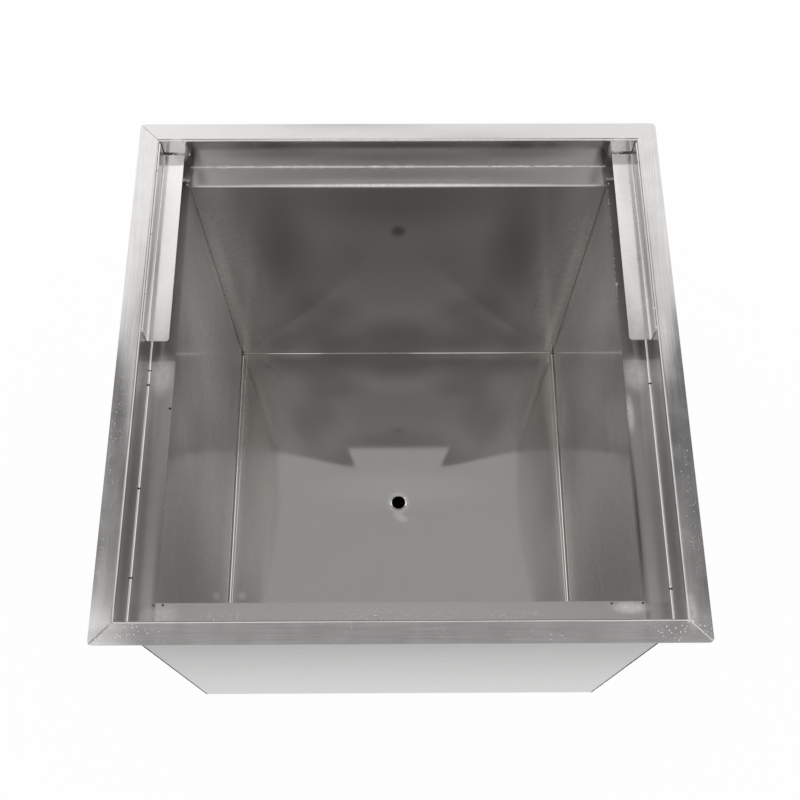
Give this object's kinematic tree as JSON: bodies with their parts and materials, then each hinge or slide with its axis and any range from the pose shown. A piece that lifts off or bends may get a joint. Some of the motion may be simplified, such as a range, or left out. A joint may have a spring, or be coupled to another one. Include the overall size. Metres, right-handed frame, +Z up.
{
  "type": "drop-in ice bin",
  "caption": "Drop-in insulated ice bin in stainless steel: open square well with a flat rim, an inner ledge, cover rails at the back and a creased floor falling to a central drain.",
  "frame": {"origin": "middle of the underside, on the surface that the bin stands on", "axes": "+X to the right and +Y to the back as seen from the front, +Z up out of the well"},
  "size_m": [0.614, 0.614, 0.572],
  "materials": {
    "shell_steel": "brushed stainless sheet",
    "liner_steel": "mill-rolled stainless sheet",
    "rail_steel": "brushed stainless sheet",
    "pan_steel": "mill-rolled stainless sheet",
    "drain_steel": "turned stainless",
    "weld_metal": "bright tack weld",
    "foam": "rigid polyurethane foam",
    "bush_rubber": "moulded rubber"
  },
  "bodies": {
    "root": {"shell_front": "shell_steel", "shell_back": "shell_steel", "shell_left": "shell_steel", "shell_right": "shell_steel", "bottom_pan": "pan_steel", "liner_wrap": "liner_steel", "liner_front": "liner_steel", "liner_back": "liner_steel", "lid_rail_left": "rail_steel", "lid_rail_right": "rail_steel", "rail_tacks_left": "weld_metal", "rail_tacks_right": "weld_metal", "insulation_front": "foam", "insulation_back": "foam", "insulation_left": "foam", "insulation_right": "foam", "insulation_floor": "foam", "drain_coupling": "drain_steel", "drain_bush": "bush_rubber"}
  },
  "joints": []
}
